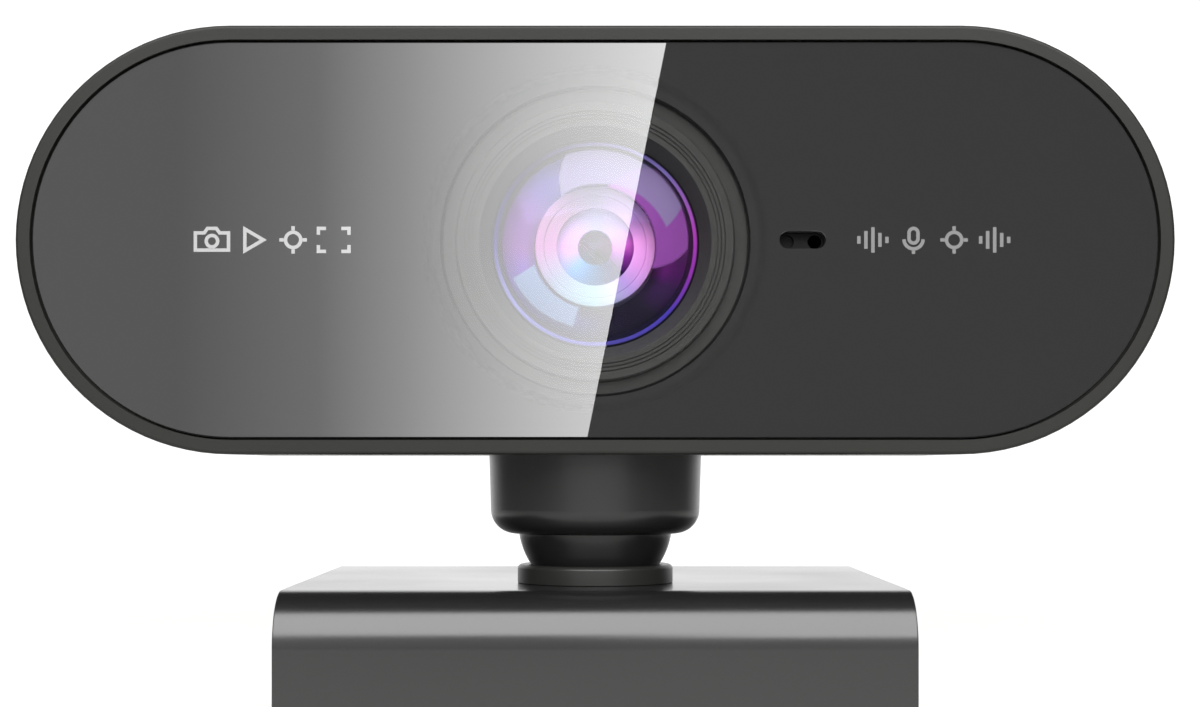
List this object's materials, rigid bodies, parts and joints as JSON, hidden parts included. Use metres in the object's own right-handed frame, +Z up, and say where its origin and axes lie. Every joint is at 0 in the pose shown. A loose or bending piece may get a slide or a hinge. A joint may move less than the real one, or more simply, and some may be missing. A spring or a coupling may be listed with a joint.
{
  "type": "webcam on clip stand",
  "caption": "Webcam with a stadium-shaped head and flat clear front, on a ball joint and swivel over a folding monitor clip that also stands on a desk or screws to a tripod.",
  "frame": {"origin": "on the ground, midway between the clip's front face and the rear leg's foot, and midway across", "axes": "+X across the head to the right as seen from the front, -Y the way the lens looks, +Z up"},
  "size_m": [0.1, 0.0762, 0.0697],
  "materials": {
    "shell_abs": "fine matt moulded texture",
    "clip_abs": "satin moulded",
    "window_acrylic": "polished clear",
    "mask_ink": "smooth dark print behind the window",
    "surround_abs": "satin with fine turned grooves",
    "coated_glass": "polished, violet and magenta coating",
    "barrel_anodised": "black anodised",
    "baffle_black": "dead matt black",
    "ir_glass": "polished, pale green",
    "sensor_ceramic": "glossy die under glass",
    "board_laminate": "green solder mask",
    "chip_epoxy": "matt moulded epoxy",
    "screw_steel": "black oxide",
    "spring_steel": "bright",
    "capacitor_ceramic": "sintered",
    "connector_nylon": "natural nylon",
    "led_resin": "clear resin over phosphor",
    "light_pipe_acrylic": "polished",
    "insert_black": "satin black",
    "capsule_nickel": "bright",
    "neck_nylon": "satin black",
    "rubber": "matt",
    "insert_brass": "turned"
  },
  "bodies": {
    "clip": {"clip_shell": "clip_abs", "inner_cover": "clip_abs", "inner_cover_screws": "screw_steel", "tripod_insert": "insert_brass", "top_pad": "rubber", "front_pad": "rubber", "hinge_pin": "spring_steel", "hinge_washers": "spring_steel"},
    "rear_leg": {"rear_leg": "clip_abs", "leg_foot": "rubber"},
    "swivel": {"ball_stud": "neck_nylon", "swivel_disc": "neck_nylon", "wave_washer": "spring_steel", "thrust_washer": "spring_steel", "swivel_screw": "screw_steel"},
    "socket_liner": {"socket_liner": "connector_nylon"},
    "head": {"front_shell": "shell_abs", "rear_cover": "shell_abs", "cover_screws": "screw_steel", "front_window": "window_acrylic", "window_mask": "mask_ink", "lens_surround": "surround_abs", "cover_dome": "coated_glass", "light_baffle": "baffle_black", "lens_barrel": "barrel_anodised", "retaining_ring": "barrel_anodised", "front_element": "coated_glass", "aperture_stop": "baffle_black", "middle_element": "coated_glass", "rear_element": "coated_glass", "lens_holder": "barrel_anodised", "holder_screws": "screw_steel", "ir_filter": "ir_glass", "image_sensor": "sensor_ceramic", "main_board": "board_laminate", "board_screws": "screw_steel", "controller_chip": "chip_epoxy", "memory_chip": "chip_epoxy", "crystal": "spring_steel", "board_connector": "connector_nylon", "board_capacitors": "capacitor_ceramic", "status_led": "led_resin", "light_pipe": "light_pipe_acrylic", "indicator_insert": "insert_black", "mic_boot": "rubber", "mic_capsule": "capsule_nickel", "mic_leads": "spring_steel", "cable_grommet": "rubber", "socket_cup": "neck_nylon", "socket_cap": "neck_nylon", "neck_nut": "spring_steel"}
  },
  "joints": [
    {"name": "swivel_pan", "type": "hinge", "parent": "clip", "child": "swivel", "pos_m": [0, -0.02157, 0.021], "axis": [0, 0, 1], "continuous": true},
    {"name": "head_pitch", "type": "hinge", "parent": "swivel", "child": "socket_liner", "pos_m": [0, -0.02157, 0.0266], "axis": [1, 0, 0], "range_deg": [-17, 17]},
    {"name": "head_roll", "type": "hinge", "parent": "socket_liner", "child": "head", "pos_m": [0, -0.02157, 0.0266], "axis": [0, 1, 0], "range_deg": [-10, 10]},
    {"name": "leg_fold", "type": "hinge", "parent": "clip", "child": "rear_leg", "pos_m": [0, 0.00493, 0.0113], "axis": [1, 0, 0], "range_deg": [-162, 16]}
  ]
}
